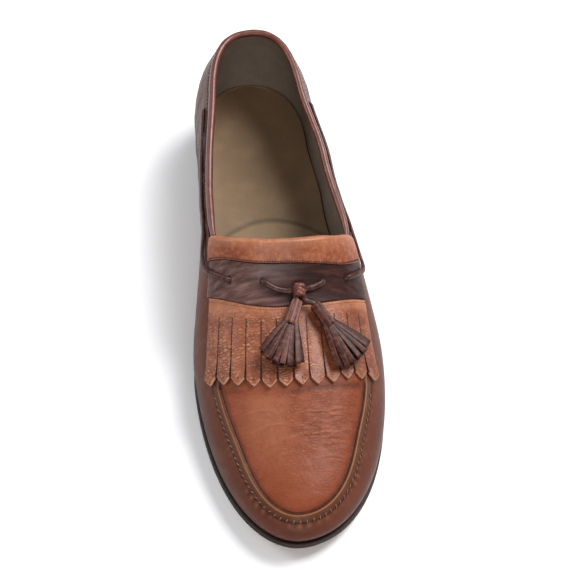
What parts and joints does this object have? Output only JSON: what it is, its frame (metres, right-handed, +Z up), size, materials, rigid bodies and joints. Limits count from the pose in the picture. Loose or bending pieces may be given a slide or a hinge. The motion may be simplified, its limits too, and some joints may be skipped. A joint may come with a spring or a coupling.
{
  "type": "kiltie loafer",
  "caption": "Slip-on leather loafer with a raised moccasin seam, a fringed flap and a dark saddle strap over the instep, a lace tied to hanging tassels, and a low heel.",
  "frame": {"origin": "centre of the shoe's outline, on the floor that it stands on", "axes": "+Y from the toe to the heel, +Z up, +X to the lateral side of this left shoe"},
  "size_m": [0.1049, 0.304, 0.0854],
  "materials": {
    "brown_calf": "smooth calf, waxed",
    "tan_grained_calf": "grained calf, worn at the edges",
    "dark_brown_calf": "smooth glossy calf",
    "oxblood_binding": "smooth calf",
    "stacked_leather": "dark edge dressing",
    "black_rubber": "matt",
    "tan_lining": "matt lining leather"
  },
  "bodies": {
    "root": {"outsole": "stacked_leather", "heel_stack": "stacked_leather", "heel_lift": "black_rubber", "insole": "tan_lining", "upper": "brown_calf", "collar_binding": "oxblood_binding", "tongue_band": "tan_grained_calf", "saddle_band": "dark_brown_calf", "kiltie": "tan_grained_calf", "lace_run_medial": "dark_brown_calf", "lace_run_lateral": "dark_brown_calf", "lace_bar_medial": "dark_brown_calf", "lace_bar_lateral": "dark_brown_calf", "lace_knot": "dark_brown_calf", "lace_end_medial": "dark_brown_calf", "lace_end_lateral": "dark_brown_calf", "tassel_medial": "dark_brown_calf", "tassel_lateral": "dark_brown_calf"}
  },
  "joints": []
}
